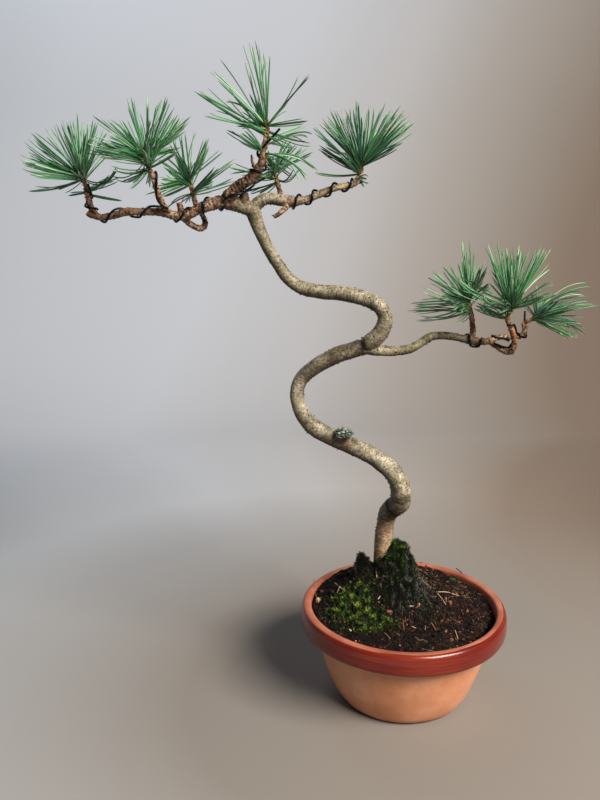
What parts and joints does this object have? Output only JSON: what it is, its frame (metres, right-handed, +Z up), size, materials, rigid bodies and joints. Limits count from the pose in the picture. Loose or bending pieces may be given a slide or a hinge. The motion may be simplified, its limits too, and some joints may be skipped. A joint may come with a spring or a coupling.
{
  "type": "potted bonsai tree",
  "caption": "Bonsai pine with a bent trunk and needle sprays on wired limbs, growing in mossy soil in a low terracotta pot with a glazed rim.",
  "frame": {"origin": "centre of the pot's flat foot, on the surface it stands on", "axes": "+Z up, -Y towards the front from which the trunk's bends and all the sprays show best, +X to the right seen from there"},
  "size_m": [0.3868, 0.15, 0.4543],
  "materials": {
    "terracotta": "unglazed fired clay, with a glossy dark red glaze on the rim band",
    "soil": "damp potting soil with moss",
    "bark": "young pine bark, pale olive on the trunk and flaky brown on the limbs",
    "needles": "satin green pine needles with pale inner faces",
    "wire": "black anodised"
  },
  "bodies": {
    "root": {"pot": "terracotta", "soil": "soil", "trunk": "bark", "needles_far_left": "needles", "needles_left_front": "needles", "needles_left_back": "needles", "needles_top": "needles", "needles_middle_back": "needles", "needles_right": "needles", "needles_low_left": "needles", "needles_low_front": "needles", "needles_low_right": "needles", "wire_left_limb": "wire", "wire_far_left": "wire", "wire_left_front": "wire", "wire_top": "wire", "wire_right_limb": "wire", "wire_lower_limb": "wire", "wire_low_front": "wire", "wire_low_right": "wire"}
  },
  "joints": []
}
